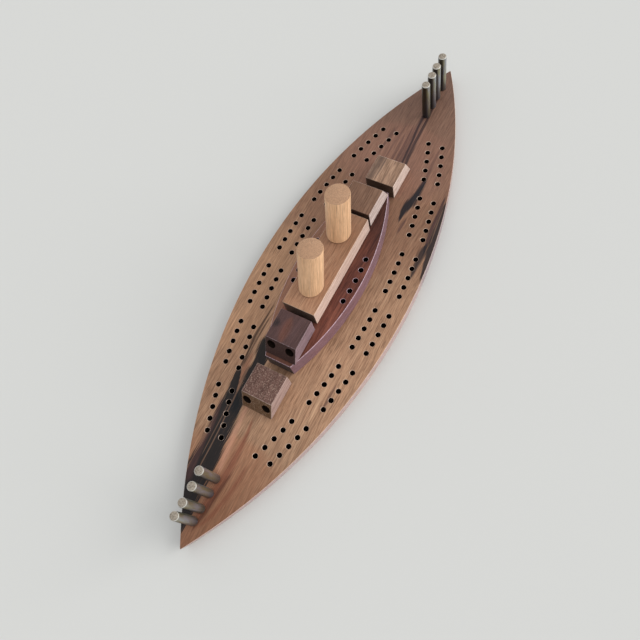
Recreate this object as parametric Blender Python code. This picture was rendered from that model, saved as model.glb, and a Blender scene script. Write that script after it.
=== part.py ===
"""A cribbage board shaped like a battleship: a pointed wooden hull drilled with the scoring holes, a raised
deck, a bridge block with two raked funnels, four gun turrets, and eight steel pegs standing at the ends."""

import math

import bmesh
import bpy
from mathutils import Matrix, Vector

# Metres. +X runs to the stern, +Y to starboard, +Z up. The origin is on the table, under the middle of the hull.
# The pieces are placed by hand on the real board, so few of them stand exactly on its centreline.
GLUE_LINE = 0.0003  # left between pieces that touch

HULL_LENGTH = 0.4222
HULL_WIDTH = 0.1210
HULL_TIP_WIDTH = 0.0005
HULL_THICKNESS = 0.0105
HULL_STEM_RAKE = 0.0035  # how far the stem slopes back from the deck edge to the underside
HULL_ARC_STEPS = 48

SCORE_HOLE_DIAMETER = 0.0039
SCORE_HOLE_DEPTH = 0.0085
SCORE_HOLE_PITCH = 0.00794
SCORE_GROUP_GAP = 0.0168
SCORE_MIDDLE = 0.0006  # of the whole pattern, aft of the middle of the hull
SCORE_GROUPS = 3  # towards each end, on each side
SCORE_GROUP_HOLES = 5
SCORE_ROW_INSETS = (0.0098, 0.0208)
SCORE_HOLE_SIDES = 10

DECK_MIDDLE = 0.0006  # aft of the middle of the hull
DECK_LENGTH = 0.1510
DECK_WIDTH = 0.0518
DECK_END_WIDTH = 0.0202
DECK_THICKNESS = 0.0152
DECK_ARC_STEPS = 24
DECK_HOLE_MIDDLE = 0.0011  # aft of the middle of the deck
DECK_HOLE_PITCH = 0.0089
DECK_HOLES = 5
DECK_HOLE_INSET = 0.0049

BLOCK_HEIGHT = 0.0150  # of the bridge and of every turret
BRIDGE_LENGTH = 0.0812
BRIDGE_WIDTH = 0.0252
BRIDGE_MIDDLE = (0.0016, 0.0005)

TURRET_TOP_LENGTH = 0.0222
TURRET_FOOT_LENGTH = 0.0289  # longer than the top, because the gun face slopes
SOCKET_DIAMETER = 0.0066
SOCKET_DEPTH = 0.0100
SOCKET_SIDES = 20

FUNNEL_DIAMETER = 0.0175
FUNNEL_SIDES = 40

PEG_DIAMETER = 0.00635
PEG_LENGTH = 0.0347
PEG_CHAMFER = 0.0007
SHANK_DIAMETER = 0.0034
SHANK_LENGTH = 0.0075
PEG_SIDES = 24

HULL_TOP = HULL_THICKNESS
DECK_FOOT = HULL_TOP + GLUE_LINE
DECK_TOP = HULL_TOP + DECK_THICKNESS
BRIDGE_FOOT = DECK_TOP + GLUE_LINE
BRIDGE_TOP = DECK_TOP + BLOCK_HEIGHT

# The turrets' ends of the ship (-1 bow, +1 stern), distances of the upright inner face from amidships, distances to
# starboard, widths, and the spacing and height of the gun sockets.
LOWER_TURRETS = (
    ("turret_bow_lower", -1, 0.0814, 0.0004, 0.0243, 0.0154, 0.0086),
    ("turret_stern_lower", 1, 0.0819, 0.0004, 0.0232, 0.0150, 0.0090),
)
UPPER_TURRETS = (
    ("turret_bow_upper", -1, 0.0433, -0.0008, 0.0239, 0.0144, 0.0098),
    ("turret_stern_upper", 1, 0.0454, 0.0010, 0.0243, 0.0148, 0.0096),
)
# Foot centres along and across the ship, rakes towards the stern, tilts of the sawn top, lengths of the axis.
FUNNELS = (
    ("funnel_front", -0.0201, 0.0002, math.radians(17.5), math.radians(9), 0.0363),
    ("funnel_rear", 0.0244, 0.0022, math.radians(13.5), math.radians(4), 0.0373),
)
# Where the pegs stand: along and across the ship.
PEGS = (
    ("peg_bow_1", -0.1621, 0.0023),
    ("peg_bow_2", -0.1722, 0.0013),
    ("peg_bow_3", -0.1832, 0.0013),
    ("peg_bow_4", -0.1922, 0.0015),
    ("peg_stern_1", 0.1626, -0.0007),
    ("peg_stern_2", 0.1726, -0.0011),
    ("peg_stern_3", 0.1819, -0.0007),
    ("peg_stern_4", 0.1921, -0.0009),
)


def clear_scene():
    for obj in list(bpy.data.objects):
        bpy.data.objects.remove(obj)


def material(name, colour, roughness, metallic=0.0):
    made = bpy.data.materials.new(name)
    made.use_nodes = True
    made.diffuse_color = (*colour, 1.0)
    shader = made.node_tree.nodes["Principled BSDF"]
    shader.inputs["Base Color"].default_value = (*colour, 1.0)
    shader.inputs["Roughness"].default_value = roughness
    shader.inputs["Metallic"].default_value = metallic
    return made


def add_object(name, shape, surface, parent=None, location=(0.0, 0.0, 0.0)):
    """Turns a bmesh into an object of the scene, and frees it."""
    bmesh.ops.recalc_face_normals(shape, faces=shape.faces[:])
    mesh = bpy.data.meshes.new(name)
    shape.to_mesh(mesh)
    shape.free()
    if surface:
        mesh.materials.append(surface)
    obj = bpy.data.objects.new(name, mesh)
    bpy.context.scene.collection.objects.link(obj)
    obj.parent = parent
    obj.location = location
    return obj


def shade_round(obj):
    obj.data.shade_smooth()
    obj.data.set_sharp_from_angle(angle=math.radians(35))


class LensOutline:
    """A long shape between two equal arcs, pointed or cut off square at its ends."""

    def __init__(self, length, width, end_width):
        self.half_length = length / 2
        self.half_width = width / 2
        rise = (width - end_width) / 2
        self.radius = (self.half_length**2 + rise**2) / (2 * rise)

    def half_width_at(self, x, inset=0.0):
        """Half the width at x, of the outline drawn in by the inset."""
        radius = self.radius - inset
        return math.sqrt(radius**2 - x**2) - (self.radius - self.half_width)

    def points(self, steps):
        """The outline's corners, anticlockwise from the bow's port corner."""
        reach = math.asin(self.half_length / self.radius)
        angles = [reach * (2 * i / steps - 1) for i in range(steps + 1)]
        port = [(self.radius * math.sin(a), self.radius * (1 - math.cos(a)) - self.half_width) for a in angles]
        starboard = [(-x, -y) for x, y in port]
        return port + starboard


def prism(corners, low, high):
    """A solid standing on the corners' outline, from low to high."""
    shape = bmesh.new()
    foot = shape.faces.new([shape.verts.new((x, y, low)) for x, y in corners])
    raised = bmesh.ops.extrude_face_region(shape, geom=[foot])
    top = [v for v in raised["geom"] if isinstance(v, bmesh.types.BMVert)]
    bmesh.ops.translate(shape, verts=top, vec=(0.0, 0.0, high - low))
    return shape


def raked_plank(corners, thickness, stem_rake):
    """A plank under the corners' outline. Its sides lean in towards the bow, so that the underside is shorter there."""
    bow = min(x for x, _ in corners)
    drawn_in = 1 - stem_rake / abs(bow)
    shape = bmesh.new()
    foot = shape.faces.new([shape.verts.new((x * drawn_in if x < 0 else x, y, 0.0)) for x, y in corners])
    top = shape.faces.new([shape.verts.new((x, y, thickness)) for x, y in corners])
    bmesh.ops.bridge_loops(shape, edges=list(foot.edges) + list(top.edges))
    return shape


def drill(target, name, mouths, direction, diameter, depth, clearance, sides):
    """Cuts a blind hole at each mouth. The drill starts outside the wood by the clearance."""
    shape = bmesh.new()
    turn = Vector(direction).to_track_quat("Z", "Y").to_matrix().to_4x4()
    for mouth in mouths:
        middle = Vector(mouth) + Vector(direction) * (depth - clearance) / 2
        bmesh.ops.create_cone(
            shape,
            cap_ends=True,
            segments=sides,
            radius1=diameter / 2,
            radius2=diameter / 2,
            depth=depth + clearance,
            matrix=Matrix.Translation(middle) @ turn,
        )
    cutter = add_object(name, shape, None, target)
    cutter.hide_render = True
    cutter.display_type = "WIRE"
    cut = target.modifiers.new(name, "BOOLEAN")
    cut.operation = "DIFFERENCE"
    cut.object = cutter


def score_hole_places(outline):
    """Three groups of five pairs towards each end, along both edges, in rows that follow the edge."""
    group_length = (SCORE_GROUP_HOLES - 1) * SCORE_HOLE_PITCH + SCORE_GROUP_GAP
    places = []
    for group in range(SCORE_GROUPS):
        for hole in range(SCORE_GROUP_HOLES):
            x = SCORE_GROUP_GAP / 2 + group * group_length + hole * SCORE_HOLE_PITCH
            for inset in SCORE_ROW_INSETS:
                y = outline.half_width_at(x, inset)
                places += [(SCORE_MIDDLE + sx * x, sy * y) for sx in (-1, 1) for sy in (-1, 1)]
    return places


def make_hull(wood):
    outline = LensOutline(HULL_LENGTH, HULL_WIDTH, HULL_TIP_WIDTH)
    plank = raked_plank(outline.points(HULL_ARC_STEPS), HULL_THICKNESS, HULL_STEM_RAKE)
    hull = add_object("hull_board", plank, wood)
    places = score_hole_places(outline) + [(x, y) for _, x, y in PEGS]
    mouths = [(x, y, HULL_TOP) for x, y in places]
    drill(
        hull, "score_hole_drill", mouths, (0, 0, -1), SCORE_HOLE_DIAMETER, SCORE_HOLE_DEPTH, 0.002, SCORE_HOLE_SIDES
    )
    return hull


def make_deck(hull, wood):
    outline = LensOutline(DECK_LENGTH, DECK_WIDTH, DECK_END_WIDTH)
    corners = [(DECK_MIDDLE + x, y) for x, y in outline.points(DECK_ARC_STEPS)]
    deck = add_object("upper_deck", prism(corners, DECK_FOOT, DECK_TOP), wood, hull)
    mouths = []
    for hole in range(DECK_HOLES):
        x = DECK_HOLE_MIDDLE + (hole - (DECK_HOLES - 1) / 2) * DECK_HOLE_PITCH
        y = outline.half_width_at(x, DECK_HOLE_INSET)
        mouths += [(DECK_MIDDLE + x, side * y, DECK_TOP) for side in (-1, 1)]
    drill(
        deck, "deck_hole_drill", mouths, (0, 0, -1), SCORE_HOLE_DIAMETER, SCORE_HOLE_DEPTH, 0.002, SCORE_HOLE_SIDES
    )
    return deck


def make_bridge(deck, wood):
    corners = [
        (BRIDGE_MIDDLE[0] + sx * BRIDGE_LENGTH / 2, BRIDGE_MIDDLE[1] + sy * BRIDGE_WIDTH / 2)
        for sx, sy in ((-1, -1), (1, -1), (1, 1), (-1, 1))
    ]
    return add_object("bridge_block", prism(corners, BRIDGE_FOOT, BRIDGE_TOP), wood, deck)


def make_turret(name, end, inner_face, across, width, socket_spacing, socket_height, foot_height, parent, wood):
    """A block with an upright inner face and a sloping gun face, drilled with two level gun sockets."""
    low, high = foot_height + GLUE_LINE, foot_height + BLOCK_HEIGHT
    foot_x, top_x = inner_face + TURRET_FOOT_LENGTH, inner_face + TURRET_TOP_LENGTH
    profile = [(inner_face, low), (foot_x, low), (top_x, high), (inner_face, high)]
    shape = bmesh.new()
    side = shape.faces.new([shape.verts.new((end * x, across - width / 2, z)) for x, z in profile])
    raised = bmesh.ops.extrude_face_region(shape, geom=[side])
    far = [v for v in raised["geom"] if isinstance(v, bmesh.types.BMVert)]
    bmesh.ops.translate(shape, verts=far, vec=(0.0, width, 0.0))
    turret = add_object(name, shape, wood, parent)
    slope = (TURRET_FOOT_LENGTH - TURRET_TOP_LENGTH) * (1 - socket_height / BLOCK_HEIGHT)
    mouth_x = inner_face + TURRET_TOP_LENGTH + slope
    mouths = [
        (end * mouth_x, across + side * socket_spacing / 2, foot_height + socket_height) for side in (-1, 1)
    ]
    drill(turret, name + "_drill", mouths, (-end, 0, 0), SOCKET_DIAMETER, SOCKET_DEPTH, 0.005, SOCKET_SIDES)
    return turret


def make_funnel(name, x, y, rake, top_tilt, length, parent, wood):
    """A dowel leaning back on the bridge: its foot is sawn level, and its top nearly so."""
    axis = Vector((math.sin(rake), 0.0, math.cos(rake)))
    across = Vector((math.cos(rake), 0.0, -math.sin(rake)))
    top_normal = Vector((math.sin(top_tilt), 0.0, math.cos(top_tilt)))
    cuts = ((Vector((0, 0, 0)), Vector((0, 0, 1))), (axis * length, top_normal))
    shape = bmesh.new()
    rings = []
    for centre, normal in cuts:
        ring = []
        for i in range(FUNNEL_SIDES):
            turn = 2 * math.pi * i / FUNNEL_SIDES
            edge = (across * math.cos(turn) + Vector((0, 1, 0)) * math.sin(turn)) * (FUNNEL_DIAMETER / 2)
            ring.append(shape.verts.new(edge + axis * ((centre - edge).dot(normal) / axis.dot(normal))))
        rings.append(ring)
    foot, top = (shape.faces.new(ring) for ring in rings)
    bmesh.ops.bridge_loops(shape, edges=list(foot.edges) + list(top.edges))
    funnel = add_object(name, shape, wood, parent, (x, y, BRIDGE_TOP + GLUE_LINE))
    shade_round(funnel)
    return funnel


def turned(profile, sides):
    """A round solid turned from a profile of (radius, height) that starts and ends on the axis."""
    shape = bmesh.new()
    line = [shape.verts.new((radius, 0.0, height)) for radius, height in profile]
    edges = [shape.edges.new(pair) for pair in zip(line, line[1:])]
    bmesh.ops.spin(
        shape, geom=line + edges, cent=(0, 0, 0), axis=(0, 0, 1), angle=2 * math.pi, steps=sides, use_merge=True
    )
    bmesh.ops.remove_doubles(shape, verts=shape.verts[:], dist=1e-6)
    return shape


def make_peg(name, x, y, steel):
    """A steel pin with a chamfered head and a thin shank. Its empty stands on the axis it lifts along."""
    lift = bpy.data.objects.new(name + "_lift", None)
    bpy.context.scene.collection.objects.link(lift)
    lift.location = (x, y, HULL_TOP)
    head, shank, foot = PEG_DIAMETER / 2, SHANK_DIAMETER / 2, GLUE_LINE
    profile = [
        (0.0, -SHANK_LENGTH),
        (shank - PEG_CHAMFER / 2, -SHANK_LENGTH),
        (shank, PEG_CHAMFER / 2 - SHANK_LENGTH),
        (shank, foot),
        (head, foot),
        (head, PEG_LENGTH - PEG_CHAMFER),
        (head - PEG_CHAMFER, PEG_LENGTH),
        (0.0, PEG_LENGTH),
    ]
    peg = add_object(name, turned(profile, PEG_SIDES), steel, lift)
    shade_round(peg)


def main():
    clear_scene()
    walnut = material("hull_walnut", (0.33, 0.17, 0.10), 0.45)
    rosewood = material("deck_rosewood", (0.13, 0.045, 0.03), 0.4)
    tan_wood = material("bridge_wood", (0.40, 0.24, 0.15), 0.5)
    dark_wood = material("bow_turret_wood", (0.14, 0.08, 0.075), 0.5)
    grey_wood = material("stern_turret_wood", (0.26, 0.17, 0.12), 0.5)
    dowel_wood = material("funnel_dowel", (0.62, 0.42, 0.24), 0.5)
    steel = material("peg_steel", (0.62, 0.60, 0.56), 0.25, 1.0)

    hull = make_hull(walnut)
    deck = make_deck(hull, rosewood)
    bridge = make_bridge(deck, tan_wood)
    for turrets, foot_height, parent in ((LOWER_TURRETS, HULL_TOP, hull), (UPPER_TURRETS, DECK_TOP, deck)):
        for name, end, *sizes in turrets:
            make_turret(name, end, *sizes, foot_height, parent, dark_wood if end < 0 else grey_wood)
    for name, x, y, rake, top_tilt, length in FUNNELS:
        make_funnel(name, x, y, rake, top_tilt, length, bridge, dowel_wood)
    for name, x, y in PEGS:
        make_peg(name, x, y, steel)


main()
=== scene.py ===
"""The looks of the battleship cribbage board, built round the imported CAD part.

Its pieces are made again, finer, with rounded arrises and drilled holes, in procedural wood and steel.
They stand on a pale floor in soft light. Sizes are in metres in the row frame: +X aft, +Y to starboard, +Z up.
"""

import math

import bmesh
import bpy
from mathutils import Matrix, Vector

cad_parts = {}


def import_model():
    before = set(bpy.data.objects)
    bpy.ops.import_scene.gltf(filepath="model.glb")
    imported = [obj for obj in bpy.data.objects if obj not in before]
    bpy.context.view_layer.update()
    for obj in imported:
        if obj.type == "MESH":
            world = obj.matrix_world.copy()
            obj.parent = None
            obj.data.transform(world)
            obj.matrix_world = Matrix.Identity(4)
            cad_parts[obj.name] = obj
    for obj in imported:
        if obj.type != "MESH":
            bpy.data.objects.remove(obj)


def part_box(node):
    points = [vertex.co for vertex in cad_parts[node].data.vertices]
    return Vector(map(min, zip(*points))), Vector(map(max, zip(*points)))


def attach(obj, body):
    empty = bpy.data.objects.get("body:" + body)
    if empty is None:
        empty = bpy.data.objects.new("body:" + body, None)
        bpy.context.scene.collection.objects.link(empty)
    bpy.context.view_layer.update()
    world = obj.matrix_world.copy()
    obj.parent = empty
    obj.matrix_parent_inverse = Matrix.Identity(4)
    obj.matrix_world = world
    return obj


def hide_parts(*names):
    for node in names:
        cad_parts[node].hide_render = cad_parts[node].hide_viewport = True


# The sizes of the CAD part that its boxes don't give.
HULL_TIP_WIDTH = 0.0005
HULL_STEM_RAKE = 0.0035
DECK_WIDTH_AT_ENDS = 0.0202
HOLE_RADIUS = 0.00195
HOLE_DEPTH = 0.0085
HOLE_PITCH = 0.00794
GROUP_GAP = 0.0168
GROUPS_PER_ROW = 3
HOLES_PER_GROUP = 5
PATTERN_MIDDLE = 0.0006
ROW_INSETS = (0.0098, 0.0208)
DECK_HOLE_MIDDLE = 0.0017
DECK_HOLE_PITCH = 0.0089
DECK_HOLE_INSET = 0.0049
TURRET_TOP_LENGTH = 0.0222
SOCKET_RADIUS = 0.0033
SOCKET_DEPTH = 0.0100
GLUE_LINE = 0.0003
# Each turret's end of the ship, the spacing and height of its gun sockets, and its arrises' rounding.
TURRETS = {
    "turret_bow_lower": (-1, 0.0154, 0.0086, 0.0006),
    "turret_bow_upper": (-1, 0.0144, 0.0098, 0.00035),
    "turret_stern_upper": (1, 0.0148, 0.0096, 0.0003),
    "turret_stern_lower": (1, 0.0150, 0.0090, 0.0004),
}
# Each funnel's rake and the tilt of its sawn top.
FUNNELS = {
    "funnel_front": (math.radians(17.5), math.radians(9)),
    "funnel_rear": (math.radians(13.5), math.radians(4)),
}
FUNNEL_RADIUS = 0.00875
PEG_RADIUS = 0.003175
PEG_CHAMFER = 0.0007
SHANK_RADIUS = 0.0017
SHANK_LENGTH = 0.0075
PEGS = [f"peg_{end}_{number}" for end in ("bow", "stern") for number in (1, 2, 3, 4)]

# How far the edges are rounded, and how finely the round shapes are made.
HOLE_RIM = 0.00022
HULL_ARRIS, HULL_UNDER_ARRIS = 0.0003, 0.0008
DECK_ARRIS, DECK_UNDER_ARRIS = 0.0006, 0.0004
BRIDGE_ARRIS = 0.0005
FUNNEL_ARRIS = 0.0005
HULL_STEPS, DECK_STEPS = 110, 60
ARRIS_STEPS = 4
HOLE_SIDES, SOCKET_SIDES = 28, 40
PEG_SIDES, FUNNEL_SIDES = 56, 72
MITRE_LIMIT = 0.35
# How much wider than deep a hole's chamfer is, and how far a cutter stands proud of the mouth.
RIM_FLARE = 1.2
RIM_OVERSHOOT = 0.2
CUTTER_OVERSHOOT = 0.005


# ---- shapes ----


def finish_piece(name, shape, material, node, body="ship"):
    """Turns a bmesh, in the row frame, into the piece that stands for a CAD node."""
    bmesh.ops.recalc_face_normals(shape, faces=shape.faces[:])
    mesh = bpy.data.meshes.new(name)
    shape.to_mesh(mesh)
    shape.free()
    mesh.materials.append(material)
    piece = bpy.data.objects.new(name, mesh)
    bpy.context.scene.collection.objects.link(piece)
    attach(piece, body)
    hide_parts(node)
    return piece


def shade_round(piece, degrees):
    """Shades the piece smooth, except at edges sharper than this."""
    piece.data.shade_smooth()
    piece.data.set_sharp_from_angle(angle=math.radians(degrees))


class LensOutline:
    """A long shape between two equal arcs, pointed or cut off square at its ends."""

    def __init__(self, length, width, end_width):
        self.half_length = length / 2
        self.half_width = width / 2
        rise = (width - end_width) / 2
        self.radius = (self.half_length**2 + rise**2) / (2 * rise)

    def half_width_at(self, x, inset=0.0):
        radius = self.radius - inset
        return math.sqrt(radius**2 - x**2) - (self.radius - self.half_width)

    def points(self, steps):
        reach = math.asin(self.half_length / self.radius)
        port = []
        for i in range(steps + 1):
            angle = reach * (2 * i / steps - 1)
            port.append((self.radius * math.sin(angle), self.radius * (1 - math.cos(angle)) - self.half_width))
        return port + [(-x, -y) for x, y in port]


def drawn_in(corners, inset):
    """The corners of an anticlockwise outline, moved inwards so that each side moves by the inset."""
    moved = []
    for i, corner in enumerate(corners):
        before, here, after = Vector(corners[i - 1]), Vector(corner), Vector(corners[(i + 1) % len(corners)])
        first, second = (here - before).normalized(), (after - here).normalized()
        first_inward, second_inward = Vector((-first.y, first.x)), Vector((-second.y, second.x))
        normal = (first_inward + second_inward).normalized()
        reach = inset / max(MITRE_LIMIT, normal.dot(first_inward))
        moved.append(here + normal * reach)
    return moved


def skin_rings(shape, rings):
    """Joins rings of vertices, one above the next, into a solid closed at both ends."""
    count = len(rings[0])
    for lower, upper in zip(rings, rings[1:]):
        for i in range(count):
            j = (i + 1) % count
            shape.faces.new((lower[i], lower[j], upper[j], upper[i]))
    shape.faces.new(rings[0])
    shape.faces.new(rings[-1])


def rounded_slab(corners, low, high, arris, under_arris, rake=0.0):
    """A solid on an outline, with its arrises rounded over, and its bow end sloping back to the underside."""
    turns = [math.pi / 2 * i / ARRIS_STEPS for i in range(ARRIS_STEPS + 1)]
    layers = [(under_arris * (1 - math.sin(t)), low + under_arris * (1 - math.cos(t))) for t in turns]
    layers += [(arris * (1 - math.cos(t)), high - arris * (1 - math.sin(t))) for t in turns]
    bow = abs(min(x for x, _ in corners))
    shape = bmesh.new()
    rings = []
    for inset, z in layers:
        shortened = 1 - rake / bow * (high - z) / (high - low)
        ring = drawn_in(corners, inset)
        rings.append([shape.verts.new((x * shortened if x < 0 else x, y, z)) for x, y in ring])
    skin_rings(shape, rings)
    return shape


def rounded_block(profile, low_y, high_y, arris):
    """A block with an x-z profile, from side to side, with all its arrises rounded."""
    shape = bmesh.new()
    side = shape.faces.new([shape.verts.new((x, low_y, z)) for x, z in profile])
    raised = bmesh.ops.extrude_face_region(shape, geom=[side])
    far = [v for v in raised["geom"] if isinstance(v, bmesh.types.BMVert)]
    bmesh.ops.translate(shape, verts=far, vec=(0.0, high_y - low_y, 0.0))
    bmesh.ops.bevel(shape, geom=shape.edges[:], offset=arris, segments=3, profile=0.5, affect="EDGES")
    return shape


def turned(profile, sides):
    """A round solid turned about Z from a profile of (radius, height) that starts and ends on the axis."""
    shape = bmesh.new()
    line = [shape.verts.new((radius, 0.0, height)) for radius, height in profile]
    edges = [shape.edges.new(pair) for pair in zip(line, line[1:])]
    bmesh.ops.spin(
        shape,
        geom=line + edges,
        cent=(0, 0, 0),
        axis=(0, 0, 1),
        angle=2 * math.pi,
        steps=sides,
        use_merge=True,
    )
    bmesh.ops.remove_doubles(shape, verts=shape.verts[:], dist=1e-7)
    return shape


def hole_cutter(mouths, direction, radius, depth, rim, sides):
    """One mesh of round cutters. Faces that cut a rim are in slot 0, and those that cut a wall in slot 1."""
    if rim:
        proud = -rim * RIM_OVERSHOOT
        flare = [(radius, rim), (radius + rim * RIM_FLARE, proud), (0.0, proud)]
    else:
        flare = [(radius, -CUTTER_OVERSHOOT), (0.0, -CUTTER_OVERSHOOT)]
    profile = [(0.0, depth), (radius, depth)] + flare
    all_cutters = bmesh.new()
    turn = Vector(direction).to_track_quat("Z", "Y").to_matrix().to_4x4()
    for mouth in mouths:
        one = turned(profile, sides)
        for face in one.faces:
            deepest = max(v.co.z for v in face.verts)
            face.material_index = 1 if deepest > rim * 1.5 else 0
        one.transform(Matrix.Translation(mouth) @ turn)
        mesh = bpy.data.meshes.new("hole")
        one.to_mesh(mesh)
        one.free()
        all_cutters.from_mesh(mesh)
        bpy.data.meshes.remove(mesh)
    bmesh.ops.recalc_face_normals(all_cutters, faces=all_cutters.faces[:])
    cutter_mesh = bpy.data.meshes.new("drill")
    all_cutters.to_mesh(cutter_mesh)
    all_cutters.free()
    return cutter_mesh


def drill(piece, mouths, direction, radius, depth, rim, materials, sides):
    """Cuts round blind holes, chamfered if the rim isn't 0. The materials are for the rims and the walls."""
    cutter_mesh = hole_cutter(mouths, direction, radius, depth, rim, sides)
    for material in materials:
        cutter_mesh.materials.append(material)
    cutter = bpy.data.objects.new("drill", cutter_mesh)
    bpy.context.scene.collection.objects.link(cutter)
    cut = piece.modifiers.new("drill", "BOOLEAN")
    cut.operation = "DIFFERENCE"
    cut.material_mode = "TRANSFER"
    cut.object = cutter
    bpy.context.view_layer.update()
    evaluated = piece.evaluated_get(bpy.context.evaluated_depsgraph_get())
    drilled = bpy.data.meshes.new_from_object(evaluated)
    piece.modifiers.clear()
    piece.data = drilled
    bpy.data.objects.remove(cutter)


# ---- materials ----

# Streaks and shading are given in millimetres.
MM = 0.001
# A float curve holds values from 0 to 1, which stand for distances from minus to plus this many metres.
CURVE_REACH = 0.25


class Shader:
    """A material being built: each call adds a node and returns its output, to feed into the next."""

    def __init__(self, name):
        self.material = bpy.data.materials.new(name)
        self.material.use_nodes = True
        self.tree = self.material.node_tree
        self.surface = self.tree.nodes["Principled BSDF"]

    def feed(self, socket, value):
        if isinstance(value, bpy.types.NodeSocket):
            self.tree.links.new(value, socket)
        elif isinstance(value, tuple) and len(value) == 3 and socket.type == "RGBA":
            socket.default_value = (*value, 1.0)
        else:
            socket.default_value = value

    def node(self, kind, inputs, output=0, **settings):
        made = self.tree.nodes.new(kind)
        for key, value in settings.items():
            setattr(made, key, value)
        for key, value in inputs.items():
            self.feed(made.inputs[key], value)
        return made.outputs[output]

    def math(self, operation, a, b=0.0, c=0.0, clamp=False):
        return self.node("ShaderNodeMath", {0: a, 1: b, 2: c}, operation=operation, use_clamp=clamp)

    def add(self, a, b):
        return self.math("ADD", a, b)

    def times(self, a, b):
        return self.math("MULTIPLY", a, b)

    def swing(self, value, reach, about=0.0, clamp=False):
        """A noise value's distance from a half, times the reach, about another level."""
        return self.math("MULTIPLY_ADD", self.math("SUBTRACT", value, 0.5), reach, about, clamp)

    def normal(self):
        return self.node("ShaderNodeNewGeometry", {}, output="Normal")

    def facing(self, direction):
        """How much the surface faces a direction, from -1 to 1."""
        inputs = {0: self.normal(), 1: direction}
        return self.node("ShaderNodeVectorMath", inputs, output="Value", operation="DOT_PRODUCT")

    def place(self):
        """The point on the piece, in metres in the row frame."""
        return self.node("ShaderNodeTexCoord", {}, output="Object")

    def parts_of(self, vector):
        split = self.tree.nodes.new("ShaderNodeSeparateXYZ")
        self.feed(split.inputs[0], vector)
        return split.outputs

    def stretched(self, vector, scale, shift=(0.0, 0.0, 0.0)):
        return self.node("ShaderNodeMapping", {"Vector": vector, "Scale": scale, "Location": shift})

    def noise(self, vector, detail=2.0, roughness=0.5, output=0):
        inputs = {"Vector": vector, "Scale": 1.0, "Detail": detail, "Roughness": roughness}
        return self.node("ShaderNodeTexNoise", inputs, output)

    def between(self, value, low, high, to_low=0.0, to_high=1.0):
        """The value's place between low and high, smoothly, as a number from to_low to to_high."""
        return self.node(
            "ShaderNodeMapRange",
            {"Value": value, "From Min": low, "From Max": high, "To Min": to_low, "To Max": to_high},
            interpolation_type="SMOOTHSTEP",
        )

    def blend(self, share, first, second, how="MIX"):
        # A mix node's colours are its sockets 6 and 7, and its output 2.
        colours = {0: share, 6: first, 7: second}
        return self.node("ShaderNodeMix", colours, output=2, data_type="RGBA", blend_type=how)

    def shade(self, colour, share):
        """The colour, made lighter or darker by a share."""
        grey = self.node("ShaderNodeCombineColor", {0: share, 1: share, 2: share})
        return self.blend(1.0, colour, grey, "MULTIPLY")

    def bump(self, height, distance, strength):
        return self.node("ShaderNodeBump", {"Height": height, "Distance": distance, "Strength": strength})

    def done(self, colour, roughness, normal=None, **rest):
        """Feeds the surface, and gives the material. The rest are its other sockets, with _ for each space."""
        self.feed(self.surface.inputs["Base Color"], colour)
        self.feed(self.surface.inputs["Roughness"], roughness)
        if normal is not None:
            self.feed(self.surface.inputs["Normal"], normal)
        for key, value in rest.items():
            self.feed(self.surface.inputs[key.replace("_", " ")], value)
        return self.material

    def curve(self, x, points):
        """The height at x of the smooth line through the (x, height) points, all in metres."""
        made = self.tree.nodes.new("ShaderNodeFloatCurve")
        line = made.mapping.curves[0]
        while len(line.points) < len(points):
            line.points.new(0.5, 0.5)
        for point, (along, height) in zip(line.points, points):
            point.location = (0.5 + along / (2 * CURVE_REACH), 0.5 + height / (2 * CURVE_REACH))
        made.mapping.update()
        self.feed(made.inputs[1], self.math("MULTIPLY_ADD", x, 1 / (2 * CURVE_REACH), 0.5))
        return self.math("MULTIPLY_ADD", made.outputs[0], 2 * CURVE_REACH, -CURVE_REACH)

    def streak(self, x, y, ragged, course, softness):
        """How much of a streak of other wood is at (x, y). The course is its (x, y, half width) in mm."""
        course = sorted(course)
        middle = self.curve(x, [(at * MM, side * MM) for at, side, _ in course])
        half_width = self.curve(x, [(at * MM, width * MM) for at, _, width in course])
        away = self.math("ABSOLUTE", self.math("SUBTRACT", y, middle))
        share = self.math("DIVIDE", away, self.math("MAXIMUM", half_width, 1e-5))
        share = self.add(share, ragged)
        inside = self.between(share, 1 + softness, 1 - softness)
        start, end = course[0][0] * MM, course[-1][0] * MM
        inside = self.times(inside, self.between(x, start - 3 * MM, start + 4 * MM))
        return self.times(inside, self.between(x, end + 3 * MM, end - 4 * MM))


def rgb(red, green, blue):
    """A colour given in display values from 0 to 255, as the light values that a shader takes."""
    shares = [value / 255 for value in (red, green, blue)]
    return tuple(((v + 0.055) / 1.055) ** 2.4 if v > 0.04045 else v / 12.92 for v in shares)


def darker(tone, share):
    return tuple(value * share for value in tone)


def edges_of(s, flats):
    """Where a surface turns from one face to the next. A piece without flats has curved, upright sides."""
    nearest = 0.0
    if not flats:
        upward = s.math("ABSOLUTE", s.parts_of(s.normal())["Z"])
        level = s.math("SQRT", s.math("SUBTRACT", 1.0, s.times(upward, upward), clamp=True))
        nearest = s.math("MAXIMUM", upward, level)
    for flat in flats:
        nearest = s.math("MAXIMUM", nearest, s.math("ABSOLUTE", s.facing(flat)))
    return s.between(nearest, 0.985, 0.86)


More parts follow.
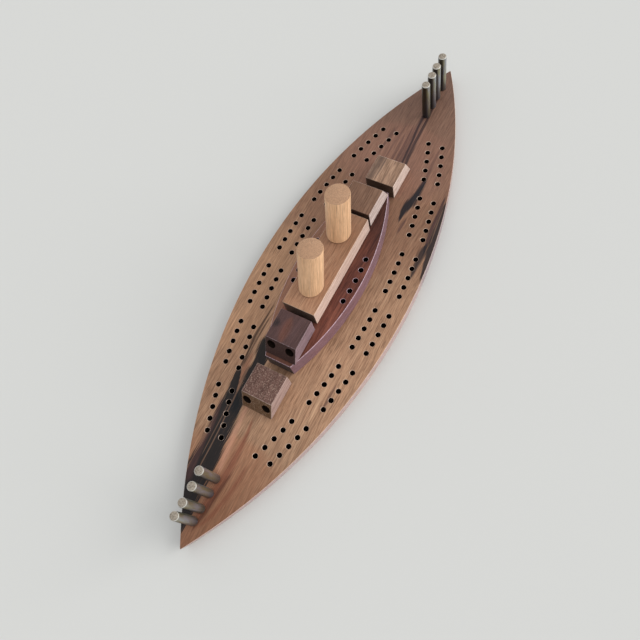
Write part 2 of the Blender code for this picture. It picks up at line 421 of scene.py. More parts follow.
class Grain:
    """The noises that wood is made of, in a place whose X runs along the grain."""

    def __init__(self, s, place, wander, pith, rings, seed):
        drift = s.noise(s.stretched(place, (11, 26, 26), (seed, 0, 0)), detail=3.0, output="Color")
        drift = s.node("ShaderNodeVectorMath", {0: drift, 1: (0.5, 0.5, 0.5)}, operation="SUBTRACT")
        drift = s.node("ShaderNodeVectorMath", {0: drift, 1: (0.0, wander, wander)}, operation="MULTIPLY")
        grown = s.node("ShaderNodeVectorMath", {0: place, 1: drift}, operation="ADD")
        x, y, z = s.parts_of(grown)
        # Growth rings about a pith outside the piece, their spacing uneven.
        out_y = s.math("SUBTRACT", y, pith[0])
        out_z = s.math("SUBTRACT", z, pith[1])
        radius = s.math("SQRT", s.add(s.times(out_y, out_y), s.times(out_z, out_z)))
        fine = {0: s.times(x, 5.0), 1: s.times(radius, rings), 2: seed}
        wide = {0: s.times(x, 3.0), 1: s.times(radius, rings * 0.22), 2: seed + 3}
        self.ring = s.noise(s.node("ShaderNodeCombineXYZ", fine), detail=3.5, roughness=0.62)
        self.broad = s.noise(s.node("ShaderNodeCombineXYZ", wide))
        # Bands, flecks, fibres and pores, all much longer than wide.
        self.bands = s.noise(s.stretched(grown, (16, 620, 620), (seed, 3, 0)), detail=3.0, roughness=0.65)
        self.fleck = s.noise(s.stretched(grown, (85, 980, 980), (seed, 8, 0)), roughness=0.6)
        self.threads = s.noise(s.stretched(grown, (38, 1500, 1500), (seed, 0, 0)), detail=3.0, roughness=0.7)
        self.hairs = s.noise(s.stretched(grown, (150, 4200, 4200), (seed, 5, 0)), roughness=0.6)
        self.cloud = s.noise(s.stretched(grown, (13, 42, 42), (seed + 7, 0, 0)), detail=3.0, roughness=0.55)
        dashes = s.noise(s.stretched(grown, (110, 2600, 2600), (seed, 0, 9)), detail=1.0)
        self.pore = s.between(dashes, 0.6, 0.72)


def figure_of(s, grain, tones, figure, patches, flecks):
    """The wood's own figure, from its growth rings, bands, darker patches and flecks."""
    dark, middle, light = tones
    level = s.add(s.times(grain.ring, 0.45), s.add(s.times(grain.broad, 0.25), s.times(grain.bands, 0.3)))
    level = s.swing(level, 2.6 * figure, 0.5, clamp=True)
    colour = s.blend(s.between(level, 0.0, 0.5), dark, middle)
    colour = s.blend(s.between(level, 0.5, 1.0), colour, light)
    colour = s.blend(s.between(grain.cloud, 0.35, 0.75, 0.0, patches), colour, dark)
    colour = s.blend(s.between(grain.fleck, 0.5, 0.66, 0.0, flecks), colour, darker(dark, 0.75))
    return s.blend(s.between(grain.fleck, 0.46, 0.34, 0.0, flecks * 0.6), colour, light)


def add_marks(s, grain, colour, place, shading, marks):
    """Shades the wood along X, by its (x in mm, share), and lays its marks over it."""
    x, y, _ = s.parts_of(place)
    y = s.add(y, s.swing(grain.broad, 3 * MM))
    ragged = s.add(s.swing(grain.threads, 0.9), s.swing(grain.bands, 0.9))
    if shading:
        # The curve's heights stay within its reach as tenths.
        colour = s.shade(colour, s.times(s.curve(x, [(at * MM, share / 10) for at, share in shading]), 10.0))
    for tone, strength, course, softness in marks:
        inside = s.streak(x, y, ragged, course, softness)
        colour = s.blend(s.times(inside, strength), colour, tone)
    return colour


def add_face_tones(s, colour, place, side, ends, ends_face):
    """Paints light on the piece's sides, and darker end grain with painted shade on its ends. Each is a tone
    and a strength.
    """
    normal = s.parts_of(s.normal())
    # Painted light: the sides are made lighter, in streaks, for the light and sheen that they catch.
    if side:
        sideways = s.between(s.math("ABSOLUTE", normal["Y"]), 0.55, 0.95)
        side_light_noise = s.noise(s.stretched(place, (60, 300, 700)), detail=4.0, roughness=0.7)
        side_light_share = s.between(side_light_noise, 0.3, 0.65, 0.5, 1.0)
        colour = s.blend(s.times(s.times(sideways, side_light_share), side[1]), colour, side[0])
    # The ends are darker: end grain and, on faces turned from the light, painted shade.
    if ends:
        lengthways = s.between(s.math("ABSOLUTE", normal[ends_face]), 0.5, 0.85)
        colour = s.blend(s.times(lengthways, ends[1]), colour, ends[0])
    return colour


def wood(
    name,
    tones,
    along=(0.0, 0.0, 0.0),
    start=(0.0, 0.0, 0.0),
    pith=(0.02, -0.09),
    rings=420.0,
    wander=0.006,
    figure=1.0,
    fibre=0.5,
    flecks=0.45,
    patches=0.35,
    seed=0.0,
    roughness=0.42,
    flats=(),
    wear_and_highlight=0.5,
    worn_and_lit_edge=None,
    marks=(),
    shading=None,
    side=None,
    ends=None,
    ends_face="X",
    grime=None,
    sheen=0.08,
    polish=0.2,
):
    """Wood whose grain runs along X once the place is turned by `along`. Its tones are dark, middle and light.

    The place is first moved by `start`. `flats` are the directions that the piece's faces look in. The edge
    tone and its strength stand for wear and for a highlight painted along the edges. `grime` is (tone,
    strength, scale, and the noise where it starts and is full).
    """
    s = Shader(name)
    place = s.stretched(s.place(), (1, 1, 1), start)
    place = s.node("ShaderNodeMapping", {"Vector": place, "Rotation": along})
    grain = Grain(s, place, wander, pith, rings, seed)
    dark, _, light = tones
    colour = figure_of(s, grain, tones, figure, patches, flecks)
    colour = add_marks(s, grain, colour, place, shading, marks)
    colour = add_face_tones(s, colour, place, side, ends, ends_face)
    colour = s.shade(colour, s.swing(grain.hairs, fibre * 0.9, s.swing(grain.threads, 2 * fibre, 1.0)))
    colour = s.blend(s.times(grain.pore, 0.35), colour, darker(dark, 0.4))
    if grime:
        tone, strength, scale, low, high = grime
        speckle = s.noise(s.stretched(place, (scale, scale, scale), (seed, 2, 4)), detail=5.0, roughness=0.75)
        colour = s.blend(s.between(speckle, low, high, 0.0, strength), colour, tone)
    # The edges are lighter, unevenly: partly wear, partly a painted highlight along the arrises and hole rims.
    # It hardly shows on the black streaks.
    edge_wear_and_light_noise = s.noise(s.stretched(place, (900, 900, 900), (seed, 0, 0)), detail=3.0)
    edge = s.times(edges_of(s, flats), s.between(edge_wear_and_light_noise, 0.3, 0.6, 0.35 * wear_and_highlight, wear_and_highlight))
    brightness = s.node("ShaderNodeRGBToBW", {"Color": colour})
    edge = s.times(edge, s.between(brightness, 0.007, 0.02, 0.25, 1.0))
    colour = s.blend(edge, colour, worn_and_lit_edge or light)

    gloss = s.add(s.swing(grain.threads, 0.25, roughness), s.times(grain.pore, 0.2))
    relief = s.add(s.times(grain.threads, 0.5), s.times(grain.pore, -0.8))
    relief = s.add(s.times(grain.hairs, 0.4), relief)
    s.surface.inputs["Sheen Roughness"].default_value = 0.35
    s.surface.inputs["Sheen Tint"].default_value = (1.0, 0.94, 0.92, 1.0)
    bump = s.bump(relief, 0.00012, 0.55)
    return s.done(colour, gloss, bump, Sheen_Weight=sheen, Specular_IOR_Level=polish)


# ---- the pieces ----


def make_hull(frame_box, inside):
    low, high = frame_box
    outline = LensOutline(high.x - low.x, high.y - low.y, HULL_TIP_WIDTH)
    corners = outline.points(HULL_STEPS)
    plank = walnut()
    slab = rounded_slab(corners, low.z, high.z, HULL_ARRIS, HULL_UNDER_ARRIS, HULL_STEM_RAKE)
    hull = finish_piece("hull_board_shaped", slab, plank, "hull_board")
    mouths = []
    for group in range(GROUPS_PER_ROW):
        for hole in range(HOLES_PER_GROUP):
            x = GROUP_GAP / 2 + group * ((HOLES_PER_GROUP - 1) * HOLE_PITCH + GROUP_GAP) + hole * HOLE_PITCH
            for inset in ROW_INSETS:
                y = outline.half_width_at(x, inset)
                mouths += [(PATTERN_MIDDLE + end * x, side * y, high.z) for end in (-1, 1) for side in (-1, 1)]
    for peg in PEGS:
        low_corner, high_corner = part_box(peg)
        middle = (low_corner + high_corner) / 2
        mouths.append((middle.x, middle.y, high.z))
    drill(hull, mouths, (0, 0, -1), HOLE_RADIUS, HOLE_DEPTH, HOLE_RIM, [plank, inside], HOLE_SIDES)


def make_deck(frame_box, inside):
    low, high = frame_box
    outline = LensOutline(high.x - low.x, high.y - low.y, DECK_WIDTH_AT_ENDS)
    middle = (low.x + high.x) / 2
    corners = [(middle + x, y) for x, y in outline.points(DECK_STEPS)]
    timber = rosewood()
    slab = rounded_slab(corners, low.z, high.z, DECK_ARRIS, DECK_UNDER_ARRIS)
    deck = finish_piece("upper_deck_shaped", slab, timber, "upper_deck")
    mouths = []
    for hole in (-2, -1, 0, 1, 2):
        x = DECK_HOLE_MIDDLE + hole * DECK_HOLE_PITCH
        y = outline.half_width_at(x - middle, DECK_HOLE_INSET)
        mouths += [(x, -y, high.z), (x, y, high.z)]
    drill(deck, mouths, (0, 0, -1), HOLE_RADIUS, HOLE_DEPTH, HOLE_RIM, [timber, inside], HOLE_SIDES)


def make_bridge(frame_box):
    low, high = frame_box
    profile = [(low.x, low.z), (high.x, low.z), (high.x, high.z), (low.x, high.z)]
    block = rounded_block(profile, low.y, high.y, BRIDGE_ARRIS)
    bridge = finish_piece("bridge_block_shaped", block, bridge_wood(), "bridge_block")


def make_turret(name, frame_box, material, inside):
    end, spacing, socket_height, arris = TURRETS[name]
    low, high = frame_box
    inner, foot = (high.x, low.x) if end < 0 else (low.x, high.x)
    brow = inner + end * TURRET_TOP_LENGTH
    profile = [(inner, low.z), (foot, low.z), (brow, high.z), (inner, high.z)]
    turret = finish_piece(name + "_shaped", rounded_block(profile, low.y, high.y, arris), material, name)
    floor = low.z - GLUE_LINE
    rise = (socket_height - GLUE_LINE) / (high.z - low.z)
    mouth_x = foot + (brow - foot) * rise
    middle = (low.y + high.y) / 2
    mouths = [(mouth_x, middle + side * spacing / 2, floor + socket_height) for side in (-1, 1)]
    drill(turret, mouths, (-end, 0, 0), SOCKET_RADIUS, SOCKET_DEPTH, 0.0, [material, inside], SOCKET_SIDES)


def make_funnel(name, frame_box, seed):
    """A dowel leaning aft, with softened sawn ends."""
    rake, tilt = FUNNELS[name]
    low, high = frame_box
    axis = Vector((math.sin(rake), 0.0, math.cos(rake)))
    across = Vector((math.cos(rake), 0.0, -math.sin(rake)))
    foot_normal, top_normal = Vector((0, 0, 1)), Vector((math.sin(tilt), 0.0, math.cos(tilt)))
    foot = Vector((low.x + FUNNEL_RADIUS / math.cos(rake), (low.y + high.y) / 2, low.z))
    # The highest point of the top is on its forward side.
    forward = -across * FUNNEL_RADIUS
    lift = forward.z - axis.z * forward.dot(top_normal) / axis.dot(top_normal)
    length = (high.z - low.z - lift) / axis.z
    # Each ring's end of the dowel, and how far it is drawn in and moved along the axis.
    soft = FUNNEL_ARRIS
    stations = [(0, soft, 0.0), (0, 0.0, soft), (1, 0.0, -soft), (1, soft * 0.3, -soft * 0.3), (1, soft, 0.0)]
    shape = bmesh.new()
    rings = []
    for end, inset, along in stations:
        normal = top_normal if end else foot_normal
        centre = axis * (length * end)
        ring = []
        for i in range(FUNNEL_SIDES):
            turn = 2 * math.pi * i / FUNNEL_SIDES
            edge = (across * math.cos(turn) + Vector((0, 1, 0)) * math.sin(turn)) * (FUNNEL_RADIUS - inset)
            reach = (centre - edge).dot(normal) / axis.dot(normal) + along
            ring.append(shape.verts.new(foot + edge + axis * reach))
        rings.append(ring)
    skin_rings(shape, rings)
    funnel = finish_piece(name + "_turned", shape, funnel_wood(seed, foot, rake), name)
    shade_round(funnel, 32)


def make_peg(name, frame_box, steel):
    low, high = frame_box
    shoulder = low.z + SHANK_LENGTH + GLUE_LINE
    edge = PEG_CHAMFER / 2
    profile = [
        (0.0, low.z),
        (SHANK_RADIUS - edge, low.z),
        (SHANK_RADIUS, low.z + edge),
        (SHANK_RADIUS, shoulder),
        (PEG_RADIUS - edge * 0.6, shoulder),
        (PEG_RADIUS, shoulder + edge * 0.6),
        (PEG_RADIUS, high.z - PEG_CHAMFER),
        (PEG_RADIUS - PEG_CHAMFER * 0.35, high.z - PEG_CHAMFER * 0.3),
        (PEG_RADIUS - PEG_CHAMFER, high.z),
        (0.0, high.z),
    ]
    shape = turned(profile, PEG_SIDES)
    shape.transform(Matrix.Translation(((low.x + high.x) / 2, (low.y + high.y) / 2, 0.0)))
    peg = finish_piece(name + "_turned", shape, steel, name, name)
    shade_round(peg, 25)


# ---- each piece's own material ----

BLACK = rgb(16, 17, 20)
BLUE_BLACK = rgb(22, 21, 27)
PURPLE_BLACK = rgb(44, 31, 34)
DARK_PURPLE = rgb(74, 48, 46)
DARK_BROWN = rgb(58, 38, 28)
PALE_LINE = rgb(118, 90, 73)
REDDISH = rgb(116, 68, 50)
PINKISH = rgb(186, 136, 112)

BLOCK_FLATS = ((1, 0, 0), (0, 1, 0), (0, 0, 1))
TURRET_FLATS = BLOCK_FLATS + ((0.912, 0, 0.410), (-0.912, 0, 0.410))

# A mark is (tone, strength, course, softness). Its course is its (x, y, half width) in mm, and each later mark
# lies over the ones before it.
BROAD_TINTS = [
    # redder aft of amidships, greyer and pinker at the stern, paler to starboard, and redder again at the bow
    (rgb(140, 92, 72), 0.32, [(10, 0, 10), (50, 0, 60), (110, 0, 60), (150, 0, 10)], 0.9),
    (rgb(130, 94, 84), 0.4, [(80, 0, 10), (120, 0, 60), (180, 0, 60), (211, 0, 0)], 0.9),
    # partly painted light, lifting the starboard side out of the shade the deck casts there, and partly paler
    # wood
    (rgb(190, 146, 110), 0.3, [(-80, 44, 10), (-30, 46, 16), (0, 46, 16), (30, 46, 6)], 0.9),
    (rgb(150, 96, 68), 0.4, [(-211, 0, 50), (-165, 0, 50), (-130, -4, 10)], 0.9),
]
BOW_BAND = [
    # red wood where the black band forks, the band and its inner lobe, and its purple edge
    (REDDISH, 0.6, [(-112, 22, 1), (-100, 22.4, 1.6), (-92, 23.4, 2.4), (-84, 24.4, 2), (-74, 25, 0.8)], 0.8),
    (
        BLACK,
        0.97,
        [(-204, 8, 2.5), (-190, 11, 6), (-175, 15, 8.8), (-160, 16, 9.6)]
        + [(-140, 16.5, 8.2), (-120, 18.6, 8.2), (-111, 20.6, 7), (-104, 24, 3.8)]
        + [(-98, 25.7, 2.8), (-92, 27, 2.4), (-88.5, 27.9, 1.6), (-86, 28, 0.4)],
        0.12,
    ),
    (
        BLACK,
        0.97,
        [(-118, 16, 4), (-99, 16.4, 4.6), (-89, 16.6, 4.8), (-78, 17, 4.6), (-68, 18.8, 4.8), (-58, 20.4, 3)],
        0.14,
    ),
    (DARK_PURPLE, 0.55, [(-172, 21, 3), (-150, 23.5, 2), (-125, 25.6, 1.6), (-112, 28.4, 0.8)], 0.6),
    # the pale lines that split the band, and the brown lines that run on aft of it
    (
        PALE_LINE,
        0.65,
        [(-164, 17, 0.3), (-138, 17.8, 0.4), (-120, 19.2, 0.45)]
        + [(-104, 20.6, 0.6), (-94, 21.8, 0.8), (-84, 22.4, 0.8)],
        0.6,
    ),
    (PALE_LINE, 0.5, [(-152, 20, 0.25), (-132, 20.8, 0.35), (-112, 21.6, 0.3)], 0.6),
    (
        DARK_BROWN,
        0.85,
        [(-91, 28, 0.8), (-81, 27.8, 0.9), (-73, 28.8, 1), (-62, 30.1, 1.2), (-49, 30, 0.8), (-34, 29.6, 0.3)],
        0.5,
    ),
    (DARK_BROWN, 0.75, [(-86, 26.4, 0.3), (-76, 27, 0.5), (-61, 27.7, 0.6), (-44, 27.4, 0.5)], 0.5),
]
BOW_STRIPES = [
    # reddish and pinkish stripes to port of the black band
    (REDDISH, 0.8, [(-190, 1, 1.5), (-170, -1, 2.6), (-150, -2.4, 2.6), (-132, -2, 1.6), (-116, 0, 0.6)], 0.8),
    (REDDISH, 0.6, [(-194, -3, 1), (-172, -10, 2), (-146, -12.6, 1.2)], 0.8),
    (rgb(84, 48, 36), 0.8, [(-198, 0, 0.6), (-184, -2, 1.6), (-170, -3.6, 1.6), (-154, -5.4, 0.8)], 0.9),
    (PINKISH, 0.5, [(-158, 3.5, 1.6), (-132, 6.5, 2), (-108, 8.5, 1.2)], 0.8),
]
STERN_LINES = [
    # the purple lines aft of the stern turret
    (DARK_PURPLE, 0.5, [(108, -2, 3), (130, -1, 4), (155, 0, 2.4), (175, 0, 1.2)], 0.9),
    (
        PURPLE_BLACK,
        0.85,
        [(110, -3, 0.7), (130, -1.9, 1), (155, 0.4, 1), (175, -0.3, 1.1), (202, 0, 0.7)],
        0.5,
    ),
    (PURPLE_BLACK, 0.8, [(110, -6.6, 1), (130, -4.5, 1.3), (157, -3.6, 1.2), (184, -2.4, 0.6)], 0.5),
    (DARK_PURPLE, 0.5, [(116, 18.6, 0.6), (128, 17.6, 1.2), (144, 16.2, 0.6)], 0.8),
    (DARK_PURPLE, 0.5, [(112, 6, 0.6), (124, 6.3, 1.2), (140, 7, 0.6)], 0.8),
    (DARK_PURPLE, 0.4, [(114, 11.5, 0.5), (130, 11, 0.9), (150, 9.5, 0.4)], 0.8),
    (DARK_PURPLE, 0.6, [(108, 2.5, 0.5), (130, 3.2, 0.9), (150, 4, 0.4)], 0.8),
]
PORT_QUARTER_PATCH = [
    # the dark patch on the port quarter, and the fainter streaks that lead to it
    (
        BLUE_BLACK,
        0.97,
        [(64, -23.2, 0.4), (70, -22.9, 1.5), (76, -23, 2.8), (82, -24.4, 3.8)]
        + [(87, -25.2, 3), (93, -25.8, 2.3), (100, -26, 1.8), (108, -26.2, 0.8)],
        0.4,
    ),
    (DARK_PURPLE, 0.45, [(98, -24.5, 0.8), (108, -25.8, 1.1), (121, -25, 1.2), (138, -24.7, 0.5)], 0.8),
    (DARK_PURPLE, 0.7, [(54, -26.4, 0.4), (62, -27, 1.1), (70, -27.4, 0.4)], 0.6),
]
PORT_EDGE_STREAKS = [
    # the dark streaks along the port edge, with a paler line in them
    (
        BLUE_BLACK,
        0.9,
        [(94, -48.9, 0.5), (84, -50.5, 2), (73, -52.2, 2.6), (60, -54.3, 3.2)]
        + [(48, -56.4, 2.8), (37, -58, 1.8), (26, -59.3, 0.6)],
        0.3,
    ),
    (
        PURPLE_BLACK,
        0.75,
        [(98, -46.2, 0.4), (84, -47.6, 1.1), (70, -48.6, 1.5), (56, -50.6, 1.2), (46, -52.6, 0.8)],
        0.6,
    ),
    (PALE_LINE, 0.6, [(88, -49.2, 0.3), (72, -51.2, 0.5), (56, -53.4, 0.3)], 0.6),
    (DARK_PURPLE, 0.8, [(94, -46.2, 0.3), (70, -48.8, 0.7), (52, -50.8, 0.6)], 0.5),
    (
        BLUE_BLACK,
        0.85,
        [(56, -51.2, 0.6), (50, -50.9, 2.3), (41, -51.4, 2.4), (32, -51.4, 1.5), (24, -51.9, 0.4)],
        0.5,
    ),
]
FAINT_STREAKS = [
    # one beside the outer port holes near the bow, and one outboard of the starboard holes near the stern
    (DARK_PURPLE, 0.6, [(-90, -39.2, 0.4), (-80, -40.2, 1), (-68, -40.2, 0.4)], 0.7),
    (DARK_PURPLE, 0.35, [(72, 44.8, 0.4), (88, 44.9, 0.7), (104, 45, 0.4)], 0.8),
]


def walnut():
    return wood(
        "walnut_with_black_streaks",
        (rgb(122, 88, 66), rgb(169, 131, 103), rgb(194, 158, 127)),
        shading=[(-211, 0.36), (-190, 0.39), (-165, 0.53), (-130, 0.78), (-80, 1.02), (-20, 0.97)]
        + [(20, 0.81), (60, 0.56), (100, 0.52), (150, 0.45), (185, 0.35), (211, 0.25)],
        figure=0.75,
        fibre=0.7,
        patches=0.28,
        # the edge tone is partly wear and partly a painted highlight along the arrises and hole rims
        worn_and_lit_edge=rgb(228, 200, 180),
        wear_and_highlight=0.75,
        # painted light: the hull's sides are made lighter, for the light and sheen that they catch
        side=(rgb(182, 162, 166), 0.75),
        marks=BROAD_TINTS
        + BOW_BAND
        + BOW_STRIPES
        + STERN_LINES
        + PORT_QUARTER_PATCH
        + PORT_EDGE_STREAKS
        + FAINT_STREAKS,
    )


def rosewood():
    return wood(
        "deck_rosewood_oiled",
        (rgb(62, 28, 24), rgb(108, 62, 50), rgb(142, 88, 70)),
        rings=520.0,
        seed=4.0,
        patches=0.6,
        shading=[(-76, 0.5), (-65, 0.7), (-52, 1.1), (-20, 1.05), (20, 0.8), (50, 0.55), (76, 0.5)],
        # painted light on the deck's sides, painted shade with darker end grain on its ends, and a partly
        # painted highlight on its edges
        side=(rgb(132, 104, 116), 0.8),
        ends=(rgb(40, 18, 13), 0.95),
        worn_and_lit_edge=rgb(204, 180, 192),
        wear_and_highlight=0.8,
        marks=[
            # painted light that lifts the starboard edge out of the bridge's shade, and the browner step in
            # front of the bow turret
            (rgb(150, 110, 88), 0.75, [(-76, 18, 3), (0, 24, 8), (76, 18, 3)], 0.3),
            (rgb(112, 72, 56), 0.5, [(-76, 0, 14), (-68, 0, 16), (-62, 0, 10)], 0.8),
        ],
    )


def bridge_wood():
    return wood(
        "bridge_tan_wood",
        (rgb(136, 94, 70), rgb(166, 124, 96), rgb(186, 146, 116)),
        rings=700.0,
        seed=9.0,
        figure=0.6,
        patches=0.3,
        shading=[(-40, 0.94), (0, 0.87), (42, 0.62)],
        # painted light on the bridge's sides, painted shade with darker end grain on its ends, and a partly
        # painted highlight on its edges
        side=(rgb(226, 200, 188), 0.75),
        ends=(rgb(50, 30, 20), 0.85),
        flats=BLOCK_FLATS,
        worn_and_lit_edge=rgb(236, 210, 188),
    )


# Each turret's side tone is painted light, and its end tone darkens its gun face as end grain and painted
# shade, with olive dust on the bow lower turret. Its edge tone is partly a painted highlight.
TURRET_LOOKS = {
    "turret_bow_lower": {
        "tones": (rgb(64, 42, 36), rgb(96, 68, 60), rgb(126, 96, 86)),
        "side": (rgb(190, 162, 154), 0.7),
        "ends": (rgb(88, 62, 36), 0.9),
        "grime": (rgb(178, 152, 136), 0.7, 1200.0, 0.5, 0.68),
        "worn_and_lit_edge": rgb(206, 184, 172),
        "roughness": 0.6,
    },
    "turret_bow_upper": {
        "tones": (rgb(50, 32, 32), rgb(76, 53, 51), rgb(96, 72, 72)),
        "figure": 0.7,
        "flecks": 0.25,
        "side": (rgb(150, 126, 134), 0.8),
        "ends": (rgb(44, 26, 22), 0.7),
        "grime": (rgb(124, 104, 90), 0.3, 1300.0, 0.52, 0.7),
        "worn_and_lit_edge": rgb(190, 168, 174),
        "marks": [
            (BLACK, 0.7, [(-57.5, 9, 0.6), (-55, 9, 2.4), (-52.5, 9, 2.2), (-50, 9.2, 0.5)], 0.6),
            (REDDISH, 0.4, [(-66, 0, 1), (-56, 1, 3), (-46, 1, 1)], 0.9),
        ],
    },
    "turret_stern_upper": {
        "tones": (rgb(84, 58, 44), rgb(116, 86, 68), rgb(144, 112, 92)),
        "side": (rgb(222, 204, 198), 0.8),
        "ends": (rgb(52, 30, 20), 0.75),
        "worn_and_lit_edge": rgb(226, 206, 194),
    },
    "turret_stern_lower": {
        "tones": (rgb(100, 76, 60), rgb(152, 120, 98), rgb(190, 156, 130)),
        "side": (rgb(222, 202, 192), 0.8),
        "ends": (rgb(46, 28, 16), 0.8),
        "worn_and_lit_edge": rgb(228, 208, 194),
        "marks": [
            (rgb(78, 61, 54), 0.75, [(80, 9.5, 2.4), (92, 9, 3.2), (108, 8.5, 2.4)], 0.8),
            (rgb(70, 56, 52), 0.6, [(82, 5.5, 0.4), (93, 5.2, 0.7), (108, 5, 0.4)], 0.7),
            (rgb(96, 72, 60), 0.6, [(99, -3, 0.3), (102, -3, 0.8), (105, -3, 0.3)], 0.6),
        ],
    },
}


def shaded_hole_wall():
    """The wall of a drilled hole, dull and painted nearly black as painted shade."""
    tones = (rgb(14, 10, 8), rgb(24, 17, 13), rgb(34, 24, 18))
    return wood("wall_of_a_hole_painted_dark", tones, seed=6.0, wear_and_highlight=0.0, sheen=0.0, polish=0.02, roughness=0.9)


def funnel_wood(seed, foot, rake):
    """Pale dowel whose grain follows the funnel's rake."""
    return wood(
        f"funnel_dowel_{seed}",
        (rgb(186, 143, 106), rgb(210, 168, 130), rgb(230, 194, 160)),
        start=tuple(-v for v in foot),
        along=(0.0, math.pi / 2 - rake, 0.0),
        pith=(0.004, -0.012),
        rings=900.0,
        wander=0.0012,
        figure=0.8,
        patches=0.2,
        seed=float(seed),
        wear_and_highlight=0.0,
        sheen=0.1,
        fibre=0.7,
        flecks=0.28,
        ends=(rgb(150, 116, 92), 0.75),
        ends_face="Z",
    )


# The side of every peg that gets painted shade, the height of its foot, and how far up from there painted
# shade darkens it.
SHADED_PEG_SIDE = (-0.75, 0.66, 0.0)
PEG_FOOT = 0.0105
PEG_FOOT_SHADE = 0.016


def peg_steel():
    """Satin steel, with painted shade on the side away from the window and near the foot. Its sawn top is
    dull, within a chamfer given a painted highlight.
    """
    s = Shader("peg_steel_turned")
    place = s.place()
    upward = s.parts_of(s.normal())["Z"]
    grooves = s.noise(s.stretched(place, (90, 90, 5200)), detail=3.0, roughness=0.6)
    smudge = s.noise(s.stretched(place, (330, 330, 70)), detail=3.0)
    speck = s.noise(s.stretched(place, (1100, 1100, 1100)), detail=4.0, roughness=0.7)
    colour = s.blend(s.between(smudge, 0.35, 0.68), rgb(150, 146, 118), rgb(158, 160, 168))
    # Painted shade: the side turned away from the window is darkened, broken up by the smudges.
    shaded_side = s.between(s.swing(smudge, 0.8, s.facing(SHADED_PEG_SIDE)), -0.35, 0.55)
    colour = s.blend(s.times(shaded_side, 0.88), colour, rgb(40, 32, 24))
    # Painted shade: darker towards the foot.
    foot = s.between(s.parts_of(place)["Z"], PEG_FOOT + PEG_FOOT_SHADE, PEG_FOOT)
    colour = s.blend(s.times(foot, 0.6), colour, rgb(62, 62, 72))
    # Painted highlight: the chamfer ring is made nearly white, for the light that it reflects.
    chamfer = s.times(s.between(upward, 0.3, 0.5), s.between(upward, 0.98, 0.9))
    colour = s.blend(chamfer, colour, rgb(210, 207, 200))
    top = s.between(upward, 0.9, 0.98)
    sawn = s.blend(s.between(speck, 0.38, 0.66), rgb(172, 162, 148), rgb(126, 115, 102))
    colour = s.blend(top, colour, sawn)
    gloss = s.add(s.math("MULTIPLY_ADD", smudge, 0.14, 0.26), s.times(top, 0.2))
    relief = s.add(s.times(grooves, 0.6), s.times(top, speck))
    return s.done(colour, gloss, s.bump(relief, 0.00004, 0.3), Metallic=0.8)


# ---- floor, light and camera ----

FLOOR_REACH = 12.0
FLOOR_TONE = (201, 201, 198)
WINDOW_PLACE = (1.8, -2.8, 1.3)
WINDOW_ANGLE = 52.0
WINDOW_STRENGTH = 2.06
WINDOW_TONE = (1.0, 0.985, 0.96)
ROOM_TONE = (0.97, 0.985, 1.0, 1.0)
# The room's light on the side away from the window and on the window's side, and where each is reached.
ROOM_LEVELS = {"From Min": -0.8, "From Max": 0.9, "To Min": 0.82, "To Max": 1.04}

CAMERA_PLACE = Vector((-0.15363, -0.15086, 0.42601))
CAMERA_AIM = Vector((-0.02726, -0.00252, -0.0022))
CAMERA_UP = Vector((0.8404, 0.38505, 0.3814))
CAMERA_SENSOR = 36.0
CAMERA_LENS = 35.596


def make_floor():
    mesh = bpy.data.meshes.new("floor")
    corners = [(x * FLOOR_REACH, y * FLOOR_REACH, 0) for x, y in ((-1, -1), (1, -1), (1, 1), (-1, 1))]
    mesh.from_pydata(corners, [], [(0, 1, 2, 3)])
    floor = bpy.data.objects.new("floor", mesh)
    bpy.context.scene.collection.objects.link(floor)
    mesh.materials.append(Shader("pale_floor").done(rgb(*FLOOR_TONE), 0.85, Specular_IOR_Level=0.12))


def add_window_light():
    """A wide, far-off window: it lights the floor evenly, and its width softens the shadows."""
    data = bpy.data.lights.new("window", "SUN")
    data.angle = math.radians(WINDOW_ANGLE)
    data.energy = WINDOW_STRENGTH
    data.color = WINDOW_TONE
    light = bpy.data.objects.new("window", data)
    light.location = WINDOW_PLACE
    light.rotation_euler = (-Vector(WINDOW_PLACE)).to_track_quat("-Z", "Y").to_euler()
    bpy.context.scene.collection.objects.link(light)


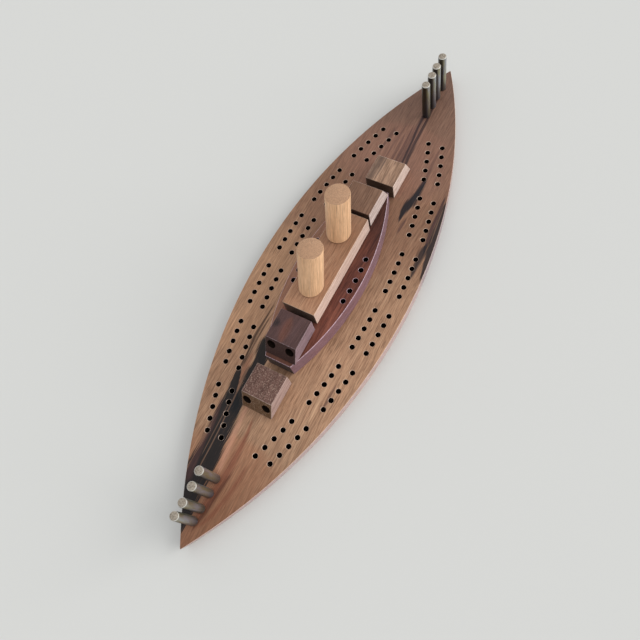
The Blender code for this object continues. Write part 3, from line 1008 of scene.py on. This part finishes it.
def add_room_light():
    """Pale light from all round, a little stronger from the window's side."""
    world = bpy.data.worlds.new("studio")
    bpy.context.scene.world = world
    world.use_nodes = True
    nodes, links = world.node_tree.nodes, world.node_tree.links
    background = nodes["Background"]
    background.inputs["Color"].default_value = ROOM_TONE
    towards = nodes.new("ShaderNodeTexCoord")
    facing = nodes.new("ShaderNodeVectorMath")
    facing.operation = "DOT_PRODUCT"
    facing.inputs[1].default_value = Vector(WINDOW_PLACE).normalized()
    level = nodes.new("ShaderNodeMapRange")
    level.interpolation_type = "SMOOTHSTEP"
    for name, value in ROOM_LEVELS.items():
        level.inputs[name].default_value = value
    links.new(towards.outputs["Generated"], facing.inputs[0])
    links.new(facing.outputs["Value"], level.inputs["Value"])
    links.new(level.outputs[0], background.inputs["Strength"])


def place_camera():
    data = bpy.data.cameras.new("camera")
    data.sensor_width = CAMERA_SENSOR
    data.lens = CAMERA_LENS
    data.clip_start = 0.01
    camera = bpy.data.objects.new("camera", data)
    back = (CAMERA_PLACE - CAMERA_AIM).normalized()
    right = CAMERA_UP.cross(back).normalized()
    turn = Matrix((right, back.cross(right), back)).transposed().to_4x4()
    camera.matrix_world = Matrix.Translation(CAMERA_PLACE) @ turn
    bpy.context.scene.collection.objects.link(camera)
    bpy.context.scene.camera = camera


def main():
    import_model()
    bpy.context.view_layer.update()
    inside = shaded_hole_wall()
    make_hull(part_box("hull_board"), inside)
    make_deck(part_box("upper_deck"), inside)
    make_bridge(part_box("bridge_block"))
    for number, (name, looks) in enumerate(TURRET_LOOKS.items()):
        timber = wood(name + "_wood", seed=20.0 + 5 * number, flats=TURRET_FLATS, **looks)
        make_turret(name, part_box(name), timber, inside)
    for number, name in enumerate(FUNNELS):
        make_funnel(name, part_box(name), 11 + number)
    steel = peg_steel()
    for name in PEGS:
        make_peg(name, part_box(name), steel)
    make_floor()
    add_window_light()
    add_room_light()
    place_camera()
    bpy.context.scene.view_settings.view_transform = "Standard"
    bpy.context.view_layer.update()


main()
